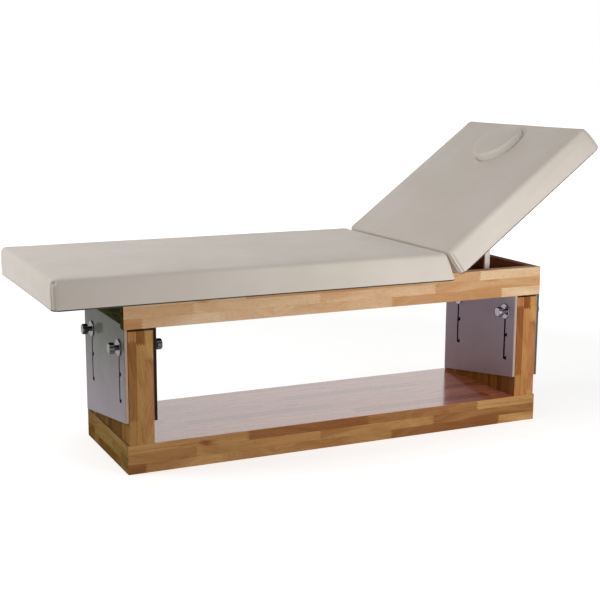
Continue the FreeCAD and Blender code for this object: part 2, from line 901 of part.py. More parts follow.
save("back_board", turned_back(back_board()))
save("back_cushion", turned_back(back_cushion()))
save("hinge_back_leaves", [turned_back(back_leaf(row)) for row in (-1, 1)])
save("hinge_back_screws", [turned_back(screw) for screw in back_leaf_screws()])
save("prop_brackets", [turned_back(prop_bracket(row)) for row in (-1, 1)])
save("bracket_screws", [turned_back(screw) for screw in bracket_screws()])
save("prop_pins", [turned_back(pin) for pin in prop_pins()])
save("plug_board", turned_back(plug_board()))
save("plug_pad", turned_back(plug_pad()))

save("prop_legs", [prop_leg(row) for row in (-1, 1)])
save("prop_crossbar", prop_crossbar())
print("prop length", round(prop_length, 1), "pivot", round(pivot_rest_x, 2), round(pivot_rest_z, 2))
print("hinge", hinge_x, hinge_z, "back end", back_end_x, "foot end", foot_end_x)
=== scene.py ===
import json
import math

import bpy
import numpy as np
from mathutils import Euler, Matrix, Vector


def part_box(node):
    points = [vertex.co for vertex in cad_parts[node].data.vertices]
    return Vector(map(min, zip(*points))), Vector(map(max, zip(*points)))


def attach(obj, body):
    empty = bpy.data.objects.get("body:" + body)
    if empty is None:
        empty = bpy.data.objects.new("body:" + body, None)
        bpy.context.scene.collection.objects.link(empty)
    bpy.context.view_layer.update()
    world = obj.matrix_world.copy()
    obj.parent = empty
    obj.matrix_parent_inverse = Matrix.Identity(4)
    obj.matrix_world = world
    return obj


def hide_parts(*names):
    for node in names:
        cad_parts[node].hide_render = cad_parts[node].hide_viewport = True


# A spa bed: a padded mattress with a raised back on a wooden frame that
# slides on two boxed pedestals. Metres, the same axes as the frame:
# +X to the head end, the front long side faces -Y, +Z up.

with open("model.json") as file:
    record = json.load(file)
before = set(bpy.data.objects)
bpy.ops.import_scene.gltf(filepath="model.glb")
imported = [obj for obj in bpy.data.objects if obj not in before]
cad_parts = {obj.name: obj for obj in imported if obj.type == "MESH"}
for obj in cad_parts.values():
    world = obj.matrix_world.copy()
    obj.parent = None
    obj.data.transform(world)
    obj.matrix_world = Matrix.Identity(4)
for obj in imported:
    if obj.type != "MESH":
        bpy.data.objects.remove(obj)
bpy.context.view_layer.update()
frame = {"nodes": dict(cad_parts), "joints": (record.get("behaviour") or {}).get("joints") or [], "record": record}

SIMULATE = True
X, Y, Z = range(3)

# The raised back turns about the hinge pin
HINGE = Vector(next(j["pos_m"] for j in frame["joints"] if j["name"] == "back_tilt"))
BACK_ANGLE = math.radians(37)
raise_back = (Matrix.Translation(HINGE) @ Matrix.Rotation(-BACK_ANGLE, 4, "Y")
              @ Matrix.Translation(-HINGE))
lay_back_flat = raise_back.inverted()
BACK_UP = raise_back.to_3x3() @ Vector((0.0, 0.0, 1.0))


# Shader nodes

class Value:
    """A node's output that takes part in Python sums: each sum adds a Math node."""

    def __init__(self, nodes, socket):
        self.nodes = nodes
        self.socket = socket

    def math(self, operation, *others):
        return self.nodes.node("ShaderNodeMath", {"operation": operation}, [self, *others])

    def __add__(self, other):
        return self.math("ADD", other)

    def __sub__(self, other):
        return self.math("SUBTRACT", other)

    def __mul__(self, other):
        return self.math("MULTIPLY", other)

    def __truediv__(self, other):
        return self.math("DIVIDE", other)

    def __gt__(self, other):
        return self.math("GREATER_THAN", other)

    def __lt__(self, other):
        return self.math("LESS_THAN", other)

    def floor(self):
        return self.math("FLOOR")

    def absolute(self):
        return self.math("ABSOLUTE")

    def bounce(self, height):
        return self.math("PINGPONG", height)

    def at_least(self, other):
        return self.math("MAXIMUM", other)


class Nodes:
    """A node tree, emptied first. Each call of node adds a node and gives one of its outputs."""

    def __init__(self, tree):
        self.tree = tree
        tree.nodes.clear()

    def node(self, kind, settings=None, values=(), output=0):
        made = self.tree.nodes.new(kind)
        for key, setting in (settings or {}).items():
            if key == "stops":
                self.set_stops(made.color_ramp, setting)
            else:
                setattr(made, key, setting)
        pairs = values.items() if isinstance(values, dict) else enumerate(values)
        for key, value in pairs:
            self.feed(made.inputs[key], value)
        return Value(self, made.outputs[output])

    def set_stops(self, ramp, stops):
        while len(ramp.elements) < len(stops):
            ramp.elements.new(1.0)
        for element, (place, color) in zip(ramp.elements, stops):
            element.position = place
            element.color = (*color, 1.0)

    def feed(self, socket, value):
        if isinstance(value, Value):
            self.tree.links.new(value.socket, socket)
        elif socket.type == "RGBA":
            socket.default_value = (*value, 1.0)
        else:
            socket.default_value = value

    def send(self, shader, kind):
        """Send a shader's output to the end of the tree, a node of this kind."""
        end = self.tree.nodes.new(kind)
        self.tree.links.new(shader, end.inputs["Surface"])

    def seen(self):
        """1 for rays that the eye sends out, also off a shiny face or through a clear one."""
        rays = self.node("ShaderNodeLightPath", output="Is Camera Ray")
        outputs = rays.socket.node.outputs
        glossy = Value(self, outputs["Is Glossy Ray"])
        through = Value(self, outputs["Is Transmission Ray"])
        return rays.at_least(glossy).at_least(through)


class Paint(Nodes):
    """A material's nodes, with a Principled shader at the end."""

    def __init__(self, name):
        self.material = bpy.data.materials.new(name)
        self.material.use_nodes = True
        super().__init__(self.material.node_tree)
        self.shader = self.tree.nodes.new("ShaderNodeBsdfPrincipled")
        self.send(self.shader.outputs[0], "ShaderNodeOutputMaterial")

    def set(self, **values):
        for key, value in values.items():
            self.feed(self.shader.inputs[key.replace("_", " ")], value)

    def place(self):
        return self.node("ShaderNodeTexCoord", output="Object")

    def normal(self):
        return self.node("ShaderNodeTexCoord", output="Normal")

    def axes(self, vector):
        parts = self.node("ShaderNodeSeparateXYZ", None, [vector])
        sockets = parts.socket.node.outputs
        return [Value(self, sockets[index]) for index in (X, Y, Z)]

    def facing(self):
        """How far a surface faces each axis, either way."""
        return [axis.absolute() for axis in self.axes(self.normal())]

    def vector(self, x, y, z):
        return self.node("ShaderNodeCombineXYZ", None, [x, y, z])

    def shifted(self, vector, shift):
        return self.node("ShaderNodeVectorMath", {"operation": "ADD"}, [vector, shift])

    def dot(self, first, second):
        return self.node("ShaderNodeVectorMath", {"operation": "DOT_PRODUCT"}, [first, second],
                         output="Value")

    def random(self, vector):
        """A steady random value and colour for each different vector."""
        value = self.node("ShaderNodeTexWhiteNoise", {"noise_dimensions": "3D"}, {"Vector": vector})
        return value, Value(self, value.socket.node.outputs["Color"])

    def noise(self, vector, scale, detail=2.0, roughness=0.5, distortion=0.0):
        return self.node("ShaderNodeTexNoise", {"noise_dimensions": "3D"},
                         {"Vector": vector, "Scale": scale, "Detail": detail,
                          "Roughness": roughness, "Distortion": distortion})

    def cells(self, vector, scale):
        return self.node("ShaderNodeTexVoronoi", {"feature": "F1"},
                         {"Vector": vector, "Scale": scale})

    def spread(self, value, low, high, start=0.0, end=1.0):
        return self.node("ShaderNodeMapRange", {"clamp": True},
                         [value, low, high, start, end])

    def ramp(self, value, stops):
        return self.node("ShaderNodeValToRGB", {"stops": stops}, [value])

    def mix(self, factor, first, second, blend="MIX"):
        return self.node("ShaderNodeMix", {"data_type": "RGBA", "blend_type": blend},
                         {0: factor, 6: first, 7: second}, output=2)

    def stain(self, color, stain):
        return self.mix(1.0, color, stain, "MULTIPLY")

    def bump(self, height, depth, strength, over=None):
        """Raised detail, on top of another bump if there is one."""
        values = {"Strength": strength, "Distance": depth, "Height": height}
        if over:
            values["Normal"] = over
        return self.node("ShaderNodeBump", None, values)


def srgb(red, green, blue):
    """A colour as a screen shows it, 0 to 255, as the linear colour that a shader takes."""
    def linear(level):
        share = level / 255
        return share / 12.92 if share <= 0.04045 else ((share + 0.055) / 1.055) ** 2.4
    return linear(red), linear(green), linear(blue)


def darker(color, share):
    return [level * share for level in color]


# Wood: glued staves with finger joints

STAVE_WIDTH = 0.032
STAVE_DEPTH = 0.036
STAVE_LENGTH = 0.42
FINGER_PITCH = 0.0045
FINGER_LENGTH = 0.009
GLUE_LINE = 0.0004
END_ROW = 0.05
WOOD_COAT = 0.15


def staves(paint, colors, along, across, depth, start,
           stave_width=STAVE_WIDTH, stave_length=STAVE_LENGTH, variety=1.0):
    """Glued staves: their colour, streaks and height.

    along, across and depth are the axes of a stave's length, width and thickness, and start is where
    the first stave starts on each of them.
    """
    light, dark, blush = colors
    axes = paint.axes(paint.place())
    run = axes[along] - start[0]
    side = axes[across] - start[1]
    layer = ((axes[depth] - start[2]) / STAVE_DEPTH).floor()
    row = (side / stave_width).floor()
    row_random, _ = paint.random(paint.vector(row, layer, 3.0))
    fingers = side.bounce(FINGER_PITCH) * (FINGER_LENGTH / FINGER_PITCH)
    travelled = (run + fingers) / stave_length + row_random * 5.0
    stave = travelled.floor()
    tone, tint = paint.random(paint.vector(row, stave, layer))

    # Each stave is cut from another part of the tree
    shift = paint.node("ShaderNodeVectorMath", {"operation": "SCALE"}, {0: tint, "Scale": 6.0})

    def grain(run_scale, side_scale, *noise, bend=None):
        """Noise drawn out along the stave, and bent sideways if there is a bend."""
        spot = side * side_scale
        if bend:
            spot = spot + bend
        spot = paint.vector(run * run_scale, spot, axes[depth] * side_scale)
        return paint.noise(paint.shifted(spot, shift), 1.0, *noise)

    bow = grain(2.2, 7.0, 1.0)
    figure = grain(1.5, 26.0, 3.0, 0.55, 0.4, bend=bow * 9.0)
    streak = grain(9.0, 300.0, 3.0, 0.6, bend=bow * 40.0)
    pores = paint.spread(grain(60.0, 1500.0, 1.0), 0.60, 0.70)
    knots = paint.spread(grain(9.0, 22.0, 1.0), 0.66, 0.78)

    board = paint.ramp(tone, [(0.0, dark), (0.22, dark), (0.42, light), (0.78, light), (1.0, blush)])
    board = paint.mix(variety, light, board)
    body = paint.mix(paint.spread(figure, 0.30, 0.70) * 0.62, board, paint.stain(board, dark))
    body = paint.mix(paint.spread(streak, 0.35, 0.75) * 0.5, body, paint.stain(body, blush))
    body = paint.mix(knots * 0.7, body, paint.stain(body, dark))
    body = paint.mix(pores * 0.5, body, darker(dark, 0.35))

    # Thin glue lines between the rows and at the finger joints
    row_line = (side / stave_width - row) * stave_width < GLUE_LINE
    end_line = (travelled - stave) * stave_length < GLUE_LINE * 2
    glue = row_line.at_least(end_line)
    body = paint.mix(glue * 0.45, body, darker(dark, 0.4))
    return body, streak, streak * 0.5 + pores * -0.5 + glue * -0.6


def lacquer(paint, body, streak, height, coat, coat_roughness=0.3):
    """Bare wood below, so that only the coat shines."""
    paint.set(Base_Color=body, Roughness=paint.spread(streak, 0.2, 0.8, 0.5, 0.65),
              Specular_IOR_Level=0.0, Coat_Weight=coat, Coat_Roughness=coat_roughness,
              Normal=paint.bump(height, 0.00025, 0.35))
    return paint.material


def wood(name, colors, along, across, depth, start, shaded_end_colors=None, **sizes):
    """Staves, lacquered on the faces that don't look along X.

    The ends towards the foot get the end colours, if there are any: end grain, darkened as painted shade.
    """
    paint = Paint(name)
    faces = paint.facing()
    body, streak, height = staves(paint, colors, along, across, depth, start, **sizes)
    if shaded_end_colors:
        rings, _, _ = staves(paint, shaded_end_colors, depth, across, along, start, stave_width=END_ROW)
        # Painted shade: only the end faces towards the foot take the darker end colours
        shaded_foot_end = (faces[along] > 0.5) * (paint.axes(paint.place())[along] < 0.0)
        body = paint.mix(shaded_foot_end, body, rings)
    return lacquer(paint, body, streak, height, (faces[X] < 0.5) * WOOD_COAT)


# Panels: grey faces on a board with bare edges

PANEL_LAYER = 0.0016
EDGE_REACH = 0.003
FADE_START = 0.1
FADE_PAST_TOP = 0.02
FADE_CLOUDS = 0.12
DUST = srgb(190, 184, 180)
# Painted shade inside the panels' slots
SLOT_SHADE = srgb(38, 32, 32)


def panel_board(name, node, faces_out, edge, layer_edge, lower_grey, upper_grey):
    """faces_out is the way along X that the panel's outer face looks."""
    paint = Paint(name)
    low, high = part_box(node)
    outer = high.x if faces_out > 0 else low.x
    place = paint.place()
    x, y, z = paint.axes(place)
    inward = (x - outer).absolute()
    face = paint.facing()[X] > 0.5
    cloud = paint.noise(place, 7.0, 3.0, 0.6)
    dust = paint.noise(place, 60.0, 3.0, 0.6)
    brushed = paint.noise(paint.vector(x * 40.0, y * 14.0, z * 700.0), 1.0, 2.0)
    # Painted shade and reflection: the grey changes from the lower to the upper colour up the panel
    rise = paint.spread(z + cloud * FADE_CLOUDS, low.z + FADE_START, high.z + FADE_PAST_TOP)
    laminate_with_painted_shade = paint.mix(rise, lower_grey, upper_grey)
    laminate_with_painted_shade = paint.mix(paint.spread(dust, 0.55, 0.8) * 0.12, laminate_with_painted_shade, DUST)
    grain = paint.noise(paint.vector(x * 900.0, y * 60.0, z * 60.0), 1.0, 2.0)
    bare_edge = paint.mix(paint.spread(grain, 0.35, 0.65), edge, darker(edge, 0.75))
    # The slots' walls lie inside the outline of the panel and are painted dark, as shade in the slots
    front_edge = y < low.y + EDGE_REACH
    rear_edge = y > high.y - EDGE_REACH
    top_edge = z > high.z - EDGE_REACH
    outline = front_edge.at_least(rear_edge).at_least(top_edge)
    edge_or_slot_shade = paint.mix(outline, SLOT_SHADE, bare_edge)
    rim = paint.mix((inward < PANEL_LAYER) * outline, edge_or_slot_shade, layer_edge)
    paint.set(Base_Color=paint.mix(face, rim, laminate_with_painted_shade), Specular_IOR_Level=0.0,
              Roughness=paint.spread(cloud, 0.3, 0.7, 0.5, 0.6), Coat_Weight=face * 0.25,
              Coat_Roughness=0.1, Normal=paint.bump(brushed, 0.00003, 0.15))
    return paint.material


# Upholstery vinyl

# Painted shade along the bottom of the pads
SHADED_HEM = srgb(78, 72, 68)
HEM_ROUGHER = 0.45


def vinyl(name, color, shadow, up=(0.0, 0.0, 1.0), shaded_hem_level=-1.0, band=None):
    """Grained vinyl, with the band's lighter colour on its sides as painted light, if there is one.

    Below the hem level, measured along up, the bottom strip is painted dark, as shade under the pad.
    """
    paint = Paint(name)
    place = paint.place()
    # Painted shade: a dark strip along the bottom of the cover
    shaded_hem = paint.dot(place, up) < shaded_hem_level
    pebbles = paint.cells(place, 820.0)
    creases = paint.noise(place, 340.0, 3.0, 0.6)
    drift = paint.noise(place, 3.2, 3.0, 0.5)
    handling = paint.noise(place, 14.0, 4.0, 0.6)
    tone = paint.mix(paint.spread(drift, 0.35, 0.65) * 0.5, color, shadow)
    # Painted light: the sides take the lighter band colour
    if band:
        tone = paint.mix(paint.spread(paint.dot(paint.normal(), up), 0.3, 0.8), band, tone)
    tone = paint.mix(paint.spread(pebbles, 0.45, 0.75) * 0.16, tone, paint.stain(tone, shadow))
    soft = paint.bump(handling, 0.0012, 0.22)
    paint.set(Base_Color=paint.mix(shaded_hem, tone, SHADED_HEM), Specular_IOR_Level=0.42,
              Roughness=paint.spread(handling, 0.3, 0.7, 0.40, 0.52) + shaded_hem * HEM_ROUGHER,
              Normal=paint.bump(creases * 0.5 - pebbles * 0.8, 0.0003, 0.35, soft),
              Sheen_Weight=0.08, Sheen_Roughness=0.4)
    return paint.material


# Metals, paint and plain boards

def metal(name, color, roughness, streaks, shaded_foot_color=None):
    """Plated metal. The fittings on the foot pedestal may be darker, as painted shade."""
    paint = Paint(name)
    place = paint.place()
    wear = paint.noise(place, 160.0, 4.0, 0.6)
    smudge = paint.noise(place, 40.0, 2.0, 0.5)
    tone = paint.mix(paint.spread(smudge, 0.35, 0.7) * streaks, color, darker(color, 0.7))
    if shaded_foot_color:
        # Painted shade: the fittings on the foot pedestal are darker
        tone = paint.mix(paint.axes(place)[X] < 0.0, tone, shaded_foot_color)
    paint.set(Base_Color=tone, Metallic=1.0,
              Roughness=paint.spread(wear, 0.3, 0.7, roughness, roughness + 0.12),
              Normal=paint.bump(wear, 0.00003, 0.2))
    return paint.material


def painted_steel(name, color, chipped):
    paint = Paint(name)
    place = paint.place()
    orange_peel = paint.noise(place, 420.0, 2.0, 0.5)
    dust = paint.noise(place, 26.0, 4.0, 0.65)
    tone = paint.mix(paint.spread(dust, 0.45, 0.8) * 0.35, color, chipped)
    paint.set(Base_Color=tone, Roughness=paint.spread(dust, 0.3, 0.7, 0.3, 0.42), Coat_Weight=0.2,
              Coat_Roughness=0.15, Normal=paint.bump(orange_peel, 0.00008, 0.3))
    return paint.material


def plywood(name, face, ply):
    paint = Paint(name)
    place = paint.place()
    x, y, z = paint.axes(place)
    grain = paint.noise(paint.vector(x * 8.0, y * 160.0, z * 160.0), 1.0, 4.0, 0.6, 0.3)
    flame = paint.noise(paint.vector(x * 1.4, y * 14.0, z * 14.0), 1.0, 2.0, 0.5, 0.8)
    tone = paint.mix(paint.spread(grain, 0.3, 0.7) * 0.6, face, ply)
    tone = paint.mix(paint.spread(flame, 0.45, 0.7) * 0.4, tone, ply)
    paint.set(Base_Color=tone, Roughness=0.62, Normal=paint.bump(grain, 0.0002, 0.4))
    return paint.material


GOLDEN = [srgb(252, 226, 188), srgb(224, 180, 132), srgb(252, 226, 198)]
# The long rails' foot ends: olive end grain, darkened as painted shade under the mattress
SHADED_RAIL_END = [srgb(112, 104, 54), srgb(94, 86, 42), srgb(108, 100, 54)]
FOOT_POST = [srgb(218, 176, 112), srgb(176, 128, 74), srgb(216, 166, 112)]
HEAD_POST = [srgb(226, 174, 110), srgb(172, 112, 64), srgb(216, 156, 106)]
BROWN = [srgb(222, 180, 120), srgb(176, 126, 78), srgb(226, 180, 130)]
# The plinth's ends and bearers: a darker tone of their own, and more darkening as painted shade under the mattress
SHADED_PLINTH_END = [srgb(182, 150, 90), srgb(152, 118, 66), srgb(174, 142, 88)]
# The frame's foot end rail: dark olive, painted shade under the mattress
SHADED_FRAME_END = [srgb(92, 94, 62), srgb(72, 74, 46), srgb(86, 88, 58)]
SHELF = [srgb(248, 178, 140), srgb(206, 134, 96), srgb(242, 170, 138)]
# Inside the frame: darker brown, painted shade of the recess
SHADED_INSIDE = [srgb(176, 112, 70), srgb(112, 68, 40), srgb(164, 102, 66)]
PEDESTAL = {"foot": [srgb(158, 122, 70), srgb(122, 86, 46), srgb(150, 110, 66)],
            "head": [srgb(190, 136, 72), srgb(160, 108, 56), srgb(176, 124, 66)]}

FRAME_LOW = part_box("frame_front_rail")[0].z
PLINTH_ROW = 0.030
CROSS_ROW = 0.021
SHELF_ROW, SHELF_STAVE = 0.045, 0.52
SHELF_FRONT = -0.225
CROSS_START = (0.0, FRAME_LOW, 0.0)
PLINTH_END_START = (-1.0, 0.0, 0.0)
OUTER_SKIN = 0.003


def clad(nodes, material):
    """Give CAD nodes a finish in place of the plain one that they came with."""
    for name in nodes:
        mesh = frame["nodes"][name].data
        mesh.materials.clear()
        mesh.materials.append(material)


def head_end_rail(outer_x):
    """The head end's rail: golden outside, and brown inside as painted shade of the recess."""
    paint = Paint("head_end_rail")
    inside, _, _ = staves(paint, SHADED_INSIDE, Y, Z, X, CROSS_START, stave_width=CROSS_ROW)
    outside, streak, height = staves(paint, GOLDEN, Y, Z, X, CROSS_START)
    outer = paint.axes(paint.place())[X] > outer_x - OUTER_SKIN
    return lacquer(paint, paint.mix(outer, inside, outside), streak, height, 0.1)


def clad_frame():
    x_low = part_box("frame_front_rail")[0].x
    long_rails = wood("golden_rail", GOLDEN, X, Z, Y, (x_low, FRAME_LOW, 0.0), SHADED_RAIL_END)
    # The rails inside the frame are darker brown: painted shade
    cross_rails = wood("brown_cross_rail", SHADED_INSIDE, Y, Z, X, CROSS_START, stave_width=CROSS_ROW)
    # The foot end rail is darker than the other rails: painted shade
    foot_rail = wood("foot_end_rail", SHADED_FRAME_END, Y, Z, X, CROSS_START)
    head_rail = head_end_rail(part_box("frame_head_rail")[1].x)
    clad(["frame_front_rail", "frame_rear_rail"], long_rails)
    clad(["frame_foot_rail"], foot_rail)
    clad(["frame_head_rail"], head_rail)
    clad(["foot_panel_rail", "head_panel_rail", "hinge_rail", "seat_rails"], cross_rails)


def shelf_board(x_low):
    """The shelf: glossy boards between the pedestals, and the plinth's staves on the rest."""
    paint = Paint("shelf_and_its_edges")
    top, streak, top_height = staves(paint, SHELF, X, Y, Z, (x_low, SHELF_FRONT, 0.0),
                                     stave_width=SHELF_ROW, stave_length=SHELF_STAVE)
    front, _, front_height = staves(paint, BROWN, X, Z, Y, (x_low, 0.0, 0.0), stave_width=PLINTH_ROW)
    # The shelf's end edges take the darker end staves, partly painted shade
    end, _, end_height = staves(paint, SHADED_PLINTH_END, Y, Z, X, PLINTH_END_START, stave_width=PLINTH_ROW)
    faces = paint.facing()
    upward = faces[Z] > 0.5
    x = paint.axes(paint.place())[X]
    between = (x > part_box("foot_outer_board")[1].x) * (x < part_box("head_outer_board")[0].x)
    glossy = upward * between
    not_front = (faces[X] > 0.5).at_least(upward)
    edge = paint.mix(not_front, front, end)
    edge_height = front_height + (end_height - front_height) * not_front
    height = edge_height + (top_height - edge_height) * glossy
    shelf = lacquer(paint, paint.mix(glossy, edge, top), streak, height, glossy, 0.12)
    paint.set(Specular_IOR_Level=0.3, Roughness=paint.spread(glossy, 0.0, 1.0, 0.95, 0.2))
    return shelf


def clad_base():
    x_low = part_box("plinth_front_rail")[0].x
    # The plinth's ends take the darker end staves, partly their own tone and partly painted shade
    plinth = wood("plinth_staves", BROWN, X, Z, Y, (x_low, 0.0, 0.0), SHADED_PLINTH_END,
                  stave_width=PLINTH_ROW)
    plinth_ends = wood("plinth_end_staves", SHADED_PLINTH_END, Y, Z, X, PLINTH_END_START,
                       stave_width=PLINTH_ROW)
    clad(["plinth_front_rail", "plinth_rear_rail"], plinth)
    clad(["plinth_foot_rail", "plinth_head_rail", "plinth_bearers"], plinth_ends)
    clad(["shelf_deck"], shelf_board(x_low))


def clad_pedestals():
    for end, colors in (("foot", FOOT_POST), ("head", HEAD_POST)):
        post_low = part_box(end + "_front_post")[0]
        posts = wood(end + "_post_staves", colors, Z, X, Y,
                     (post_low.z, post_low.x, post_low.y), stave_width=0.026, stave_length=0.24)
        boards = wood(end + "_pedestal_staves", PEDESTAL[end], Z, Y, X,
                      (post_low.z, 0.0, 0.0), stave_width=0.04, stave_length=0.3, variety=0.5)
        clad([end + "_front_post", end + "_rear_post"], posts)
        clad([end + "_inner_board", end + "_outer_board"], boards)


PALE_EDGE = srgb(222, 190, 164)
# The next two: near edges of the panels whose outer faces look +X, darkened as painted shade of the gap beside the
# posts
SHADED_DARK_EDGE = srgb(64, 42, 38)
SHADED_OLIVE_EDGE = srgb(116, 106, 68)
PALE_LAYER = srgb(176, 162, 160)
# Panel greys, lower and upper: the foot panels darker than the head panels, with tints of painted shade and
# painted reflection
FOOT_LOW, FOOT_HIGH = srgb(168, 158, 168), srgb(112, 117, 107)
HEAD_LOW, HEAD_HIGH = srgb(180, 160, 170), srgb(206, 200, 224)
PANELS = {"foot_outer_panel": (-1, PALE_EDGE, PALE_LAYER, FOOT_LOW, FOOT_HIGH),
          "foot_inner_panel": (1, SHADED_DARK_EDGE, SHADED_DARK_EDGE, FOOT_LOW, FOOT_HIGH),
          "head_inner_panel": (-1, PALE_EDGE, PALE_LAYER, HEAD_LOW, HEAD_HIGH),
          "head_outer_panel": (1, SHADED_OLIVE_EDGE, SHADED_OLIVE_EDGE, HEAD_LOW, HEAD_HIGH)}


def clad_panels():
    for node, finish in PANELS.items():
        clad([node], panel_board(node + "_board", node, *finish))


# The second colour is for the knobs on the foot pedestal, darkened as painted shade
KNOB, SHADED_FOOT_KNOB = srgb(160, 152, 162), srgb(84, 87, 88)


def clad_fittings():
    finishes = {
        "knob_chrome": metal("knob_chrome", KNOB, 0.18, 0.4, SHADED_FOOT_KNOB),
        "hardware_steel": metal("zinc_steel", srgb(176, 176, 180), 0.30, 0.5),
        "insert_brass": metal("brass_insert", srgb(196, 160, 96), 0.28, 0.5),
        "prop_paint": painted_steel("cream_prop_paint", srgb(236, 230, 220), srgb(196, 186, 170)),
        "plywood": plywood("board_plywood", srgb(150, 118, 82), srgb(104, 76, 48)),
        "dowel_wood": plywood("beech_dowel", srgb(206, 172, 126), srgb(176, 140, 96)),
    }
    for part in frame["record"]["subparts"]:
        if part["material_slot"] in finishes:
            clad([part["node"]], finishes[part["material_slot"]])


# Cushions

CORNER = 0.020
SEAT_ROLL, BACK_ROLL, PLUG_ROLL = 0.015, 0.016, 0.009
BOTTOM_ROLL, PLUG_BOTTOM_ROLL = 0.006, 0.003
SEAT_CROWN, BACK_CROWN, PLUG_CROWN = 0.005, 0.003, 0.003
SIDE_BULGE = 0.002
DRAW_IN = 0.002
BOARD_INSET = 0.009
POCKET_LIP = 0.02
SOFT_GAP = 0.0004
SHADED_HEM_HEIGHT = 0.0045
HEM_DROP = 0.0025
WARM_WHITE = srgb(228, 218, 208)
WARM_SHADOW = srgb(213, 203, 188)
# Painted light on the face plug's side wall
PLUG_PAINTED_LIGHT = srgb(252, 248, 242)

# Rings of points round a cover: those in the pocket for the board come last
TOP_ROLL_SHARES = (0.75, 1.0)
BOTTOM_ROLL_SHARES = (0.5, 1.0)
RING_PITCH = 0.009
POCKET_RINGS = 3
BELOW_RINGS = POCKET_RINGS + len(BOTTOM_ROLL_SHARES)
HALF_RING = 0.5

# The swollen cloth: columns of points, pressure and the farthest move
CLOTH_FINE, CLOTH_COARSE = 0.0030, 0.0125
PLUG_FINE, PLUG_COARSE = 0.003, 0.008
TOP_SHEET_BEND = 0.8
SWELL_PRESSURE = 1.2
SWELL_CAP = 0.0020
SWELL_FRAMES = 20

# Where the pads depart from plain boxes: how far, and over what reach from the end
SEAT_LEAN, SEAT_LEAN_REACH, SEAT_LEAN_CURVE = 0.041, 0.16, 1.5
SEAT_FOOT_PLUMP, SEAT_FOOT_REACH = 0.005, 0.1
BACK_END_PLUMP, BACK_END_LEAN, BACK_END_REACH = 0.017, 0.015, 0.12
BACK_PLUMP = 0.003
PLUG_PRESS = 0.016
FOLD_TURNS = (0.42, 1.0)
FOLD_WIDTH = 0.11
SEAT_FOLD_DEPTH, BACK_FOLD_DEPTH = 0.0080, 0.0065
DIMPLE_INSET, DIMPLE_LEVEL = 0.008, 0.016
DIMPLE_SIZE = (0.006, 0.006, 0.004)
DIMPLE_DEPTH = 0.008
DIMPLE_IN, DIMPLE_DOWN = 0.6, -0.5

# The face hole in the back pad
HOLE_CLEARANCE = 0.002
HOLE_ROLL = 0.007
HOLE_ROLL_RINGS, HOLE_WALL_RINGS = 3, 6
BLOCK_SHARE = 0.8
RIM_SLACK = 1.01


def deselect():
    for thing in bpy.context.selected_objects:
        thing.select_set(False)


def pick(piece):
    deselect()
    piece.select_set(True)
    bpy.context.view_layer.objects.active = piece


def points_of(piece):
    co = np.zeros(len(piece.data.vertices) * 3)
    piece.data.vertices.foreach_get("co", co)
    return co.reshape(-1, 3)


def set_points(piece, co):
    piece.data.vertices.foreach_set("co", co.ravel())
    piece.data.update()


def columns(half, edge_band, fine, coarse):
    """Places of a cover's columns of points: close together near both edges."""
    inner = half - edge_band
    count = max(1, round(inner / coarse))
    middle = np.linspace(-inner, inner, 2 * count + 1)
    edge = np.linspace(inner, half, round(edge_band / fine) + 1)[1:]
    return np.concatenate([-edge[::-1], middle, edge])


def cover_columns(length, roll):
    """Columns over a pad's length, out to where the top sheet meets the first side ring."""
    band = CORNER - roll + roll * TOP_SHEET_BEND
    return columns(length / 2 - CORNER + band, band, CLOTH_FINE, CLOTH_COARSE)


def edit_open_edges():
    """Go into edit mode with the open edges selected."""
    bpy.ops.object.mode_set(mode="EDIT")
    bpy.ops.mesh.select_mode(type="EDGE")
    bpy.ops.mesh.select_all(action="DESELECT")
    bpy.ops.mesh.select_non_manifold()


def leave_edit():
    """Turn the faces' normals outwards and leave edit mode."""
    bpy.ops.mesh.select_all(action="SELECT")
    bpy.ops.mesh.normals_make_consistent(inside=False)
    bpy.ops.object.mode_set(mode="OBJECT")


def pull_down(rings):
    for _ in range(rings):
        bpy.ops.mesh.extrude_edges_move(TRANSFORM_OT_translate={"value": (0, 0, -1)})


def flat_cover(name, xs, ys, side_rings, cut_out=None, hole_rings=0):
    """A pad's cover before it is folded: a grid with its border pulled down ring by ring.

    Each point's z counts the rings that it lies below the top sheet.
    """
    deselect()
    bpy.ops.mesh.primitive_grid_add(x_subdivisions=len(xs) - 1, y_subdivisions=len(ys) - 1, size=1.0)
    piece = bpy.context.active_object
    piece.name = name
    piece.data.name = name
    co = points_of(piece)
    column = np.rint((co[:, 0] + 0.5) * (len(xs) - 1)).astype(int)
    row = np.rint((co[:, 1] + 0.5) * (len(ys) - 1)).astype(int)
    co[:, 0] = xs[column]
    co[:, 1] = ys[row]
    set_points(piece, co)
    edit_open_edges()
    pull_down(side_rings)
    if cut_out:
        cut_hole(piece, *cut_out)
        pull_down(hole_rings)
    leave_edit()
    return piece


def cut_hole(piece, centre_x, half):
    """Take the square of cells out of the top sheet and select its rim."""
    bpy.ops.object.mode_set(mode="OBJECT")
    for face in piece.data.polygons:
        x, y, z = face.center
        face.select = bool(abs(x - centre_x) < half and abs(y) < half and z > -HALF_RING)
    for edge in piece.data.edges:
        edge.select = False
    bpy.ops.object.mode_set(mode="EDIT")
    bpy.ops.mesh.select_mode(type="FACE")
    bpy.ops.mesh.delete(type="FACE")
    bpy.ops.mesh.select_mode(type="EDGE")
    bpy.ops.object.mode_set(mode="OBJECT")
    points = piece.data.vertices
    limit = half * RIM_SLACK
    for edge in piece.data.edges:
        ends = [points[index].co for index in edge.vertices]
        edge.select = all(bool(abs(z) < HALF_RING and abs(x - centre_x) < limit and abs(y) < limit)
                          for x, y, z in ends)
    bpy.ops.object.mode_set(mode="EDIT")


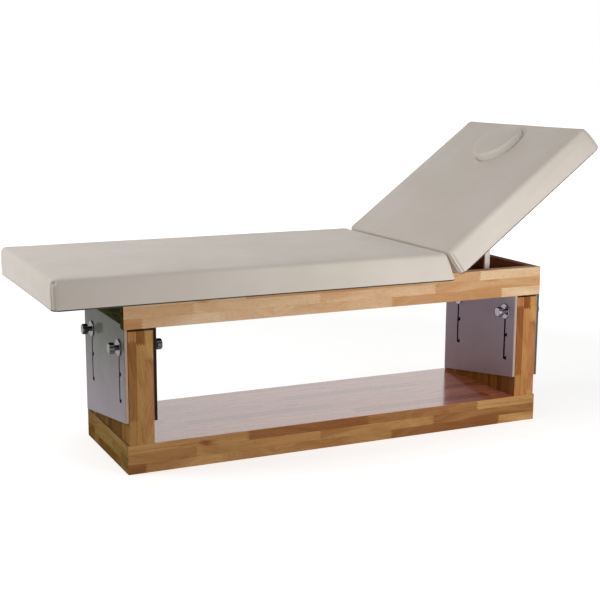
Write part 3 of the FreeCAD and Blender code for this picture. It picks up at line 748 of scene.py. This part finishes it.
def close_below(piece, has_hole):
    """Close the cover under the pad, where the board lies."""
    pick(piece)
    edit_open_edges()
    if has_hole:
        bpy.ops.mesh.bridge_edge_loops()
    else:
        bpy.ops.mesh.edge_face_add()
    leave_edit()


def round_way(over_x, over_y):
    """The reach and the heading of points in a square corner that is folded round."""
    reach = np.maximum(over_x, over_y)
    share = np.minimum(over_x, over_y) / np.maximum(reach, 1e-9)
    turn = share * (math.pi / 4)
    turn = np.where(over_y > over_x, math.pi / 2 - turn, turn)
    return reach, turn


def side_profile(corner, roll, thickness, bottom_roll, bulge, pocket=None):
    """A pad's section below the top sheet: each ring's reach past the core, and its drop."""
    rings = []
    for share in TOP_ROLL_SHARES:
        angle = share * math.pi / 2
        rings.append((corner - roll + roll * math.sin(angle), roll * (1 - math.cos(angle))))
    side = thickness - roll - bottom_roll
    steps = max(3, round(side / RING_PITCH))
    for step in range(1, steps + 1):
        share = step / steps
        swell = bulge * 4 * share * (1 - share)
        rings.append((corner + swell, roll + side * share))
    for share in BOTTOM_ROLL_SHARES:
        angle = share * math.pi / 2
        rings.append((corner - bottom_roll * (1 - math.cos(angle)),
                      thickness - bottom_roll + bottom_roll * math.sin(angle)))
    if pocket:
        inset, rise = pocket
        rings.append((corner - inset + SOFT_GAP, thickness))
        rings.append((corner - inset + SOFT_GAP, thickness - rise - SOFT_GAP))
        rings.append((corner - inset - POCKET_LIP, thickness - rise - SOFT_GAP))
    return rings


def ring_table(first_reach, rings):
    """The reach and the drop of every ring, with the top sheet as the first."""
    return np.array([(first_reach, 0.0), *rings]).T


def fold_cover(piece, low, high, corner, roll, rings, crown):
    """Fold a flat cover over its pad.

    rings gives each lower ring's reach past the core, and its drop. What comes back is each point's
    place, heading round its corner, ring and drop.
    """
    co = points_of(piece)
    a, b, level = co[:, 0], co[:, 1], np.rint(-co[:, 2]).astype(int)
    half_x, half_y = (high.x - low.x) / 2, (high.y - low.y) / 2
    core_x, core_y = half_x - corner, half_y - corner
    over_x = np.maximum(np.abs(a) - core_x, 0)
    over_y = np.maximum(np.abs(b) - core_y, 0)
    reach, turn = round_way(over_x, over_y)
    flat = corner - roll
    bend = np.clip((reach - flat) / roll, 0, math.pi / 2)
    ring_out, ring_drop = ring_table(0.0, rings)
    lower = level > 0
    out = np.where(lower, ring_out[level], np.where(reach < flat, reach, flat + roll * np.sin(bend)))
    drop = np.where(lower, ring_drop[level], roll * (1 - np.cos(bend)))
    folded = np.empty_like(co)
    folded[:, 0] = np.clip(a, -core_x, core_x) + np.sign(a) * np.cos(turn) * out
    folded[:, 1] = np.clip(b, -core_y, core_y) + np.sign(b) * np.sin(turn) * out
    u = np.clip(folded[:, 0] / half_x, -1, 1)
    v = np.clip(folded[:, 1] / half_y, -1, 1)
    thickness = high.z - low.z
    height = thickness - drop
    dome = (1 - u ** 4) * (1 - v ** 4)
    folded[:, 2] = low.z + height - (1 - dome) * crown * np.clip(height / thickness, 0, 1) ** 2
    # The four sides are drawn in between the corners
    side = np.clip(drop / roll, 0, 1)
    folded[:, 0] -= np.sign(u) * DRAW_IN * (1 - v ** 2) * np.abs(u) ** 8 * side
    folded[:, 1] -= np.sign(v) * DRAW_IN * (1 - u ** 2) * np.abs(v) ** 8 * side
    folded[:, 0] += (low.x + high.x) / 2
    folded[:, 1] += (low.y + high.y) / 2
    return folded, turn, level, drop


def corner_folds(co, turn, level, drop_share, depth):
    """Sink two folds at each corner, where the cover's spare cloth is tucked under."""
    middle = (co.min(0) + co.max(0)) / 2
    sunk = np.zeros(len(co))
    for place in FOLD_TURNS:
        sunk += np.exp(-np.abs((turn - place) / FOLD_WIDTH))
    sunk *= np.where(level > 0, np.clip(drop_share, 0, 1) ** 0.5, 0.0) * depth
    way = np.stack([np.cos(turn), np.sin(turn), np.zeros(len(co))], axis=1) * np.sign(co - middle)
    return co - way * sunk[:, None]


def rise_in(co, low, thickness):
    """How high each point lies in its pad, 0 to 1."""
    return np.clip((co[:, 2] - low.z) / thickness, 0, 1)


def puff(piece, cap, held):
    """Swell the pad as stuffed cloth does. held names the points that stay, and cap limits each move."""
    if not SIMULATE:
        return
    before = points_of(piece)
    group = piece.vertex_groups.new(name="held")
    group.add([int(index) for index in np.nonzero(held)[0]], 1.0, "REPLACE")
    cloth = piece.modifiers.new("cloth", "CLOTH")
    settings = cloth.settings
    settings.use_pressure = True
    settings.uniform_pressure_force = SWELL_PRESSURE
    settings.effector_weights.gravity = 0.0
    settings.vertex_group_mass = "held"
    settings.quality = 6
    settings.tension_stiffness = 15
    settings.compression_stiffness = 15
    settings.bending_stiffness = 1.5
    cloth.collision_settings.use_collision = False
    for step in range(1, SWELL_FRAMES + 1):
        bpy.context.scene.frame_set(step)
    deps = bpy.context.evaluated_depsgraph_get()
    after = np.zeros(before.size)
    piece.evaluated_get(deps).data.vertices.foreach_get("co", after)
    moved = after.reshape(-1, 3) - before
    length = np.linalg.norm(moved, axis=1, keepdims=True)
    moved *= np.minimum(1.0, cap / np.maximum(length, 1e-9))
    piece.modifiers.remove(cloth)
    piece.vertex_groups.remove(group)
    set_points(piece, before + moved)
    bpy.context.scene.frame_set(1)


def subdivide(piece):
    modifier = piece.modifiers.new("subdivide", "SUBSURF")
    modifier.levels = 1
    modifier.render_levels = 1
    pick(piece)
    bpy.ops.object.modifier_apply(modifier=modifier.name)


def fit_sides(co, low, high):
    """Bring the swollen pad back to its length, width and height."""
    co = co.copy()
    for axis in (X, Y, Z):
        first, last = co[:, axis].min(), co[:, axis].max()
        co[:, axis] = low[axis] + (co[:, axis] - first) * (high[axis] - low[axis]) / (last - first)
    return co


def dimple(co, middle, size, depth, way):
    """Press a soft hollow into the points round a place."""
    reach = (co - np.array(middle)) / np.array(size)
    weight = np.exp(-np.sum(reach * reach, axis=1))
    return co + np.outer(weight * depth, np.array(way))


def finish_pad(piece, material, node, body):
    pick(piece)
    bpy.ops.object.shade_smooth()
    piece.data.materials.clear()
    piece.data.materials.append(material)
    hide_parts(node)
    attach(piece, body)


def seat_pad():
    low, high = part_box("seat_cushion")
    low.z -= HEM_DROP
    material = vinyl("seat_vinyl", WARM_WHITE, WARM_SHADOW, shaded_hem_level=low.z + SHADED_HEM_HEIGHT)
    thickness = high.z - low.z
    pocket = (BOARD_INSET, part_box("seat_board")[1].z - low.z)
    rings = side_profile(CORNER, SEAT_ROLL, thickness, BOTTOM_ROLL, SIDE_BULGE, pocket)
    xs = cover_columns(high.x - low.x, SEAT_ROLL)
    ys = cover_columns(high.y - low.y, SEAT_ROLL)
    pad = flat_cover("seat_pad", xs, ys, len(rings))
    co, turn, level, drop = fold_cover(pad, low, high, CORNER, SEAT_ROLL, rings, SEAT_CROWN)
    # The head end leans back to clear the raised back, and the foot end is plumper than its board
    near_head = np.clip((co[:, 0] - (high.x - SEAT_LEAN_REACH)) / SEAT_LEAN_REACH, 0, 1)
    co[:, 0] -= near_head ** SEAT_LEAN_CURVE * rise_in(co, low, thickness) * SEAT_LEAN
    near_foot = np.clip((low.x + SEAT_FOOT_REACH - co[:, 0]) / SEAT_FOOT_REACH, 0, 1)
    in_pocket = level > len(rings) - POCKET_RINGS
    co[:, 0] -= near_foot * np.where(in_pocket, 0.0, SEAT_FOOT_PLUMP)
    low.x -= SEAT_FOOT_PLUMP
    set_points(pad, corner_folds(co, turn, level, drop / thickness, SEAT_FOLD_DEPTH))
    puff(pad, SWELL_CAP, level > len(rings) - BELOW_RINGS)
    subdivide(pad)
    co = fit_sides(points_of(pad), low, high)
    for y, inward in ((low.y, 1), (high.y, -1)):
        spot = (low.x + DIMPLE_INSET, y + inward * DIMPLE_INSET, high.z - DIMPLE_LEVEL)
        way = (DIMPLE_IN, DIMPLE_IN * inward, DIMPLE_DOWN)
        co = dimple(co, spot, DIMPLE_SIZE, DIMPLE_DEPTH, way)
    set_points(pad, co)
    close_below(pad, False)
    finish_pad(pad, material, "seat_cushion", "lift_frame")


def flat_box(node):
    """The corners of a node on the back, with the back laid flat."""
    co = np.array([lay_back_flat @ vertex.co for vertex in frame["nodes"][node].data.vertices])
    return Vector(co.min(0)), Vector(co.max(0))


def square_cut_out(xs, ys, hole_x, radius):
    """A square of whole cells round the hole, and the rows moved to fit it."""
    cells = round((radius + HOLE_ROLL) * BLOCK_SHARE / CLOTH_COARSE)
    near = np.argmin(np.abs(xs - hole_x))
    left, right = xs[near - cells], xs[near + cells]
    centre, block = (left + right) / 2, (right - left) / 2
    inner = np.abs(ys) <= ys[np.argmin(np.abs(ys - block))] + SOFT_GAP
    edge = np.abs(ys[inner]).max()
    outer = np.sign(ys) * (block + (np.abs(ys) - edge) * (ys[-1] - block) / (ys[-1] - edge))
    return np.where(inner, ys * block / edge, outer), centre, block


def hole_profile(radius, depth):
    """The face hole's section: each ring's reach from its middle, and its drop."""
    rings = []
    for step in range(1, HOLE_ROLL_RINGS + 1):
        angle = step * math.pi / 2 / HOLE_ROLL_RINGS
        rings.append((radius + HOLE_ROLL * (1 - math.sin(angle)), HOLE_ROLL * (1 - math.cos(angle))))
    for step in range(1, HOLE_WALL_RINGS + 1):
        rings.append((radius, HOLE_ROLL + (depth - HOLE_ROLL) * step / HOLE_WALL_RINGS))
    return rings


def open_face_hole(co, flat, level, hole_x, centre, block, span, radius, rings, high_z):
    """Draw the square cut-out round, and run its rim down into the hole."""
    from_x, from_y = flat[:, 0] - centre, flat[:, 1]
    reach, turn = round_way(np.abs(from_x), np.abs(from_y))
    heading = np.stack([np.sign(from_x) * np.cos(turn), np.sign(from_y) * np.sin(turn)], axis=1)
    share = np.clip((reach - block) / (span - block), 0, 1)[:, None]
    hole_middle = np.array([hole_x, 0.0])
    rim_place = heading * (radius + HOLE_ROLL) + hole_middle
    far_place = np.stack([from_x, from_y], axis=1) * (span / np.maximum(reach, 1e-6))[:, None]
    far_place += np.array([centre, 0.0])
    place = rim_place * (1 - share) + far_place * share
    co = co.copy()
    top = (level == 0) & (reach < span)
    co[top, :2] = place[top]
    rim = (level > 0) & (reach < block * RIM_SLACK)
    ring_out, ring_drop = ring_table(radius + HOLE_ROLL, rings)
    co[rim, :2] = heading[rim] * ring_out[level[rim]][:, None] + hole_middle
    co[rim, 2] = high_z - ring_drop[level[rim]]
    return co, rim


def back_pad():
    low, high = flat_box("back_cushion")
    high.z += BACK_PLUMP
    shaded_hem_spot = raise_back @ Vector((HINGE.x, 0.0, low.z + SHADED_HEM_HEIGHT))
    material = vinyl("back_vinyl", WARM_WHITE, WARM_SHADOW, tuple(BACK_UP), BACK_UP.dot(shaded_hem_spot))
    plug_low, plug_high = flat_box("plug_pad")
    board_top = flat_box("back_board")[1].z
    middle = (low.x + high.x) / 2
    hole_x = (plug_low.x + plug_high.x) / 2 - middle
    radius = (plug_high.x - plug_low.x) / 2 + HOLE_CLEARANCE
    thickness = high.z - low.z
    pocket = (BOARD_INSET, board_top - low.z)
    rings = side_profile(CORNER, BACK_ROLL, thickness, BOTTOM_ROLL, SIDE_BULGE, pocket)
    xs = cover_columns(high.x - low.x, BACK_ROLL)
    ys = cover_columns(high.y - low.y, BACK_ROLL)
    ys, centre, block = square_cut_out(xs, ys, hole_x, radius)
    hole_rings = hole_profile(radius, high.z - board_top - SOFT_GAP)
    pad = flat_cover("back_pad", xs, ys, len(rings), (centre, block), len(hole_rings))
    flat = points_of(pad) + np.array([middle, 0.0, 0.0])
    co, turn, level, drop = fold_cover(pad, low, high, CORNER, BACK_ROLL, rings, BACK_CROWN)
    co = corner_folds(co, turn, level, drop / thickness, BACK_FOLD_DEPTH)
    co, rim = open_face_hole(co, flat, level, hole_x + middle, centre + middle, block,
                             xs[-2] - centre, radius, hole_rings, high.z)
    # The head end's face bulges over the board's end, and leans back towards the top
    near_end = np.clip((co[:, 0] - (high.x - BACK_END_REACH)) / BACK_END_REACH, 0, 1)
    bulge = BACK_END_PLUMP - rise_in(co, low, thickness) * BACK_END_LEAN
    in_pocket = level > len(rings) - POCKET_RINGS
    co[:, 0] += near_end * np.where(rim | in_pocket, 0.0, bulge)
    high.x = co[:, 0].max()
    set_points(pad, co)
    puff(pad, SWELL_CAP, rim | (level > len(rings) - BELOW_RINGS))
    subdivide(pad)
    set_points(pad, fit_sides(points_of(pad), low, high))
    close_below(pad, True)
    pad.data.transform(raise_back)
    finish_pad(pad, material, "back_cushion", "backrest")


def face_plug():
    low, high = flat_box("plug_pad")
    # The plug's side wall is lighter: painted light
    material = vinyl("plug_vinyl", WARM_WHITE, WARM_SHADOW, tuple(BACK_UP), band=PLUG_PAINTED_LIGHT)
    radius = (high.x - low.x) / 2
    thickness = high.z - low.z
    rings = side_profile(radius, PLUG_ROLL, thickness, PLUG_BOTTOM_ROLL, 0.0)
    half_sheet = radius - PLUG_ROLL + PLUG_ROLL * TOP_SHEET_BEND
    span = columns(half_sheet, PLUG_ROLL * 2, PLUG_FINE, PLUG_COARSE)
    plug = flat_cover("face_plug_pad", span, span, len(rings))
    co, _, level, _ = fold_cover(plug, low, high, radius, PLUG_ROLL, rings, PLUG_CROWN)
    set_points(plug, co)
    puff(plug, SWELL_CAP / 3, level > len(TOP_ROLL_SHARES))
    subdivide(plug)
    co = fit_sides(points_of(plug), low, high)
    # The side towards the head end is pressed lower into its hole
    toward_head = np.clip((co[:, 0] - (low.x + radius)) / radius, 0, 1) ** 2
    co[:, 2] -= toward_head * rise_in(co, low, thickness) * PLUG_PRESS
    set_points(plug, co)
    close_below(plug, False)
    plug.data.transform(raise_back)
    finish_pad(plug, material, "plug_pad", "face_plug")


# Floor, light and camera

FLOOR_SIZE = 60.0
FLOOR_GLOW = 0.66
FLOOR_GREY = (0.82, 0.82, 0.82)
GLOW_NEAR, GLOW_FAR = 1.8, 3.6
WORLD_FILL = 0.275
WORLD_TINT = (1.0, 0.985, 0.97)


def build_stage():
    """A pale floor that keeps the bed's shadow nearby and turns pure white further off."""
    deselect()
    bpy.ops.mesh.primitive_plane_add(size=FLOOR_SIZE, location=(0, 0, 0))
    floor = bpy.context.active_object
    floor.name = "floor"
    paint = Paint("pale_floor")
    away = paint.node("ShaderNodeVectorMath", {"operation": "LENGTH"}, [paint.place()], output="Value")
    glow = paint.seen() * paint.spread(away, GLOW_NEAR, GLOW_FAR, FLOOR_GLOW, 1.0)
    paint.set(Base_Color=FLOOR_GREY, Roughness=0.9, Specular_IOR_Level=0.0,
              Emission_Color=paint.vector(glow, glow, glow), Emission_Strength=1.0)
    floor.data.materials.append(paint.material)


def build_world():
    """Plain white where it is seen, and a dim fill light."""
    world = bpy.data.worlds.new("studio")
    bpy.context.scene.world = world
    world.use_nodes = True
    nodes = Nodes(world.node_tree)
    seen_light = nodes.node("ShaderNodeBackground", None, {"Color": (1.0, 1.0, 1.0)})
    fill_light = nodes.node("ShaderNodeBackground", None,
                            {"Color": WORLD_TINT, "Strength": WORLD_FILL})
    both = nodes.node("ShaderNodeMixShader", None, [nodes.seen(), fill_light, seen_light])
    nodes.send(both.socket, "ShaderNodeOutputWorld")


def area_lamp(name, place, target, size, power):
    data = bpy.data.lights.new(name, "AREA")
    data.shape = "RECTANGLE"
    data.size, data.size_y = size
    data.energy = power
    lamp = bpy.data.objects.new(name, data)
    lamp.location = place
    lamp.rotation_euler = (Vector(target) - Vector(place)).to_track_quat("-Z", "Y").to_euler()
    lamp.visible_camera = False
    bpy.context.scene.collection.objects.link(lamp)


def light_the_bed():
    area_lamp("overhead_softbox", (-1.2, 0.2, 3.0), (-0.8, 0.0, 0.5), (2.2, 1.6), 13.5)
    area_lamp("head_side_softbox", (0.7, -1.85, 0.6), (0.35, 0.0, 0.5), (0.9, 0.9), 13.2)
    area_lamp("foot_softbox", (-3.2, 0.7, 1.7), (-0.95, 0.0, 0.55), (1.4, 1.4), 27)


CAMERA_PLACE = Vector((-1.71664, -3.52475, 1.17654))
CAMERA_AZIMUTH = math.radians(-25.12)
CAMERA_ELEVATION = math.radians(10.67)
CAMERA_ROLL = math.radians(0.28)
CAMERA_LENS = 71.779
CAMERA_SENSOR = 36.0
CAMERA_CLIP = (0.05, 200.0)


def build_camera():
    data = bpy.data.cameras.new("camera")
    data.lens = CAMERA_LENS
    data.sensor_width = CAMERA_SENSOR
    data.clip_start, data.clip_end = CAMERA_CLIP
    camera = bpy.data.objects.new("camera", data)
    back = Vector((math.sin(CAMERA_AZIMUTH) * math.cos(CAMERA_ELEVATION),
                   -math.cos(CAMERA_AZIMUTH) * math.cos(CAMERA_ELEVATION),
                   math.sin(CAMERA_ELEVATION)))
    level = (-back).to_track_quat("-Z", "Y")
    camera.rotation_mode = "QUATERNION"
    camera.rotation_quaternion = level @ Euler((0, 0, CAMERA_ROLL)).to_quaternion()
    camera.location = CAMERA_PLACE
    bpy.context.scene.collection.objects.link(camera)
    bpy.context.scene.camera = camera


build_camera()
build_world()
light_the_bed()
build_stage()
clad_frame()
clad_base()
clad_pedestals()
clad_panels()
clad_fittings()
seat_pad()
back_pad()
face_plug()
bpy.context.scene.view_settings.view_transform = "Standard"
